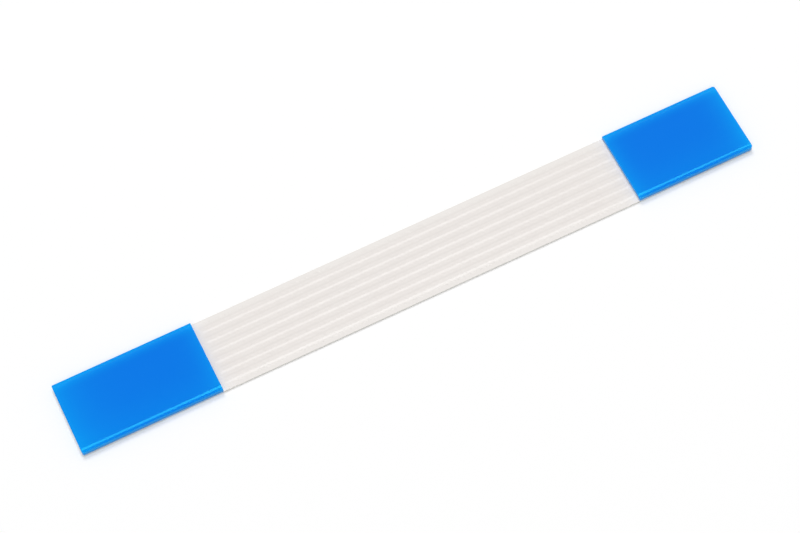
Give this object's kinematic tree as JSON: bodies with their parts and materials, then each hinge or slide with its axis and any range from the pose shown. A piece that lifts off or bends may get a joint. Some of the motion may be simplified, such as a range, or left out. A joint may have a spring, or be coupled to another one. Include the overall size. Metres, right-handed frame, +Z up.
{
  "type": "flat flex cable",
  "caption": "Short flat flexible cable: white laminated ribbon with flat conductors, blue stiffener film over each end and bare contacts on the underside.",
  "frame": {"origin": "on the resting plane, at the middle of the cable's length and width", "axes": "+X along the cable towards the end with the shorter stiffener, +Y across it, +Z up through the stiffeners"},
  "size_m": [0.0316, 0.0036, 0.0003],
  "materials": {
    "white_film": "satin white polyester film",
    "laminating_adhesive": "milky hot-melt polyester coat",
    "tinned_copper": "rolled flat wire with bright tin",
    "blue_film": "glossy blue polyester film",
    "stiffener_coat": "clear hot-melt coat that looks pale blue in section"
  },
  "bodies": {
    "root": {"conductor_1": "tinned_copper", "conductor_2": "tinned_copper", "conductor_3": "tinned_copper", "conductor_4": "tinned_copper", "conductor_5": "tinned_copper", "conductor_6": "tinned_copper", "upper_film": "white_film", "lower_film": "white_film", "upper_adhesive": "laminating_adhesive", "lower_adhesive": "laminating_adhesive", "left_stiffener": "blue_film", "right_stiffener": "blue_film", "left_stiffener_adhesive": "stiffener_coat", "right_stiffener_adhesive": "stiffener_coat"}
  },
  "joints": []
}
